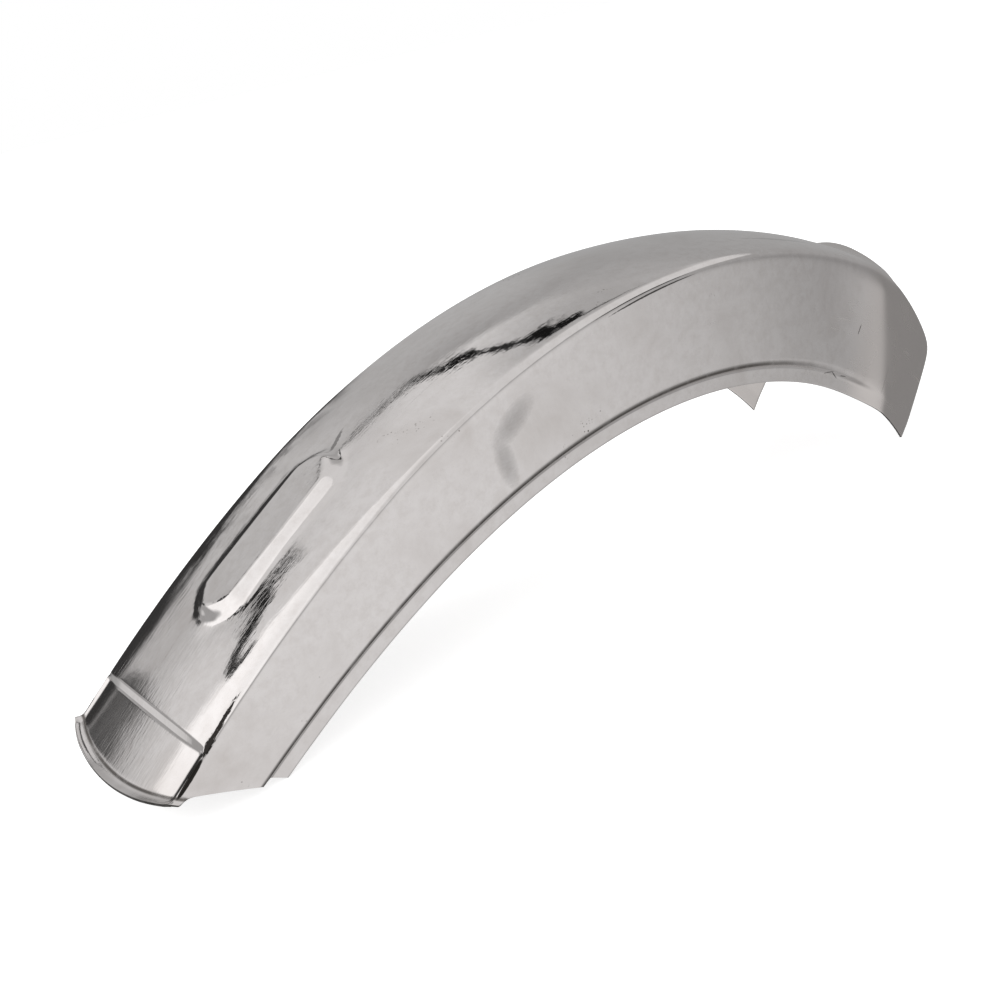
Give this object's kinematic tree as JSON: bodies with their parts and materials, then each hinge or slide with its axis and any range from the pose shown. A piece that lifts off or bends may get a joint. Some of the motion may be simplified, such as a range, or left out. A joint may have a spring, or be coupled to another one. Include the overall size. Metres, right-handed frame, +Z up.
{
  "type": "moped rear mudguard",
  "caption": "Chromed sheet-steel rear mudguard for a moped: an arched crown with side skirts, a raised lamp pad, a dished tail lip, stepped rim bands and front ears.",
  "frame": {"origin": "middle of the footprint, on the surface that the mudguard stands on", "axes": "+X towards the front ears, +Y across the wheel, +Z up; it stands arch up on the rear ends of its rim bands and the tips of its ears"},
  "size_m": [0.4448, 0.107, 0.1307],
  "materials": {
    "chrome": "bright chrome plate, lightly scratched"
  },
  "bodies": {
    "root": {"mudguard": "chrome"}
  },
  "joints": []
}
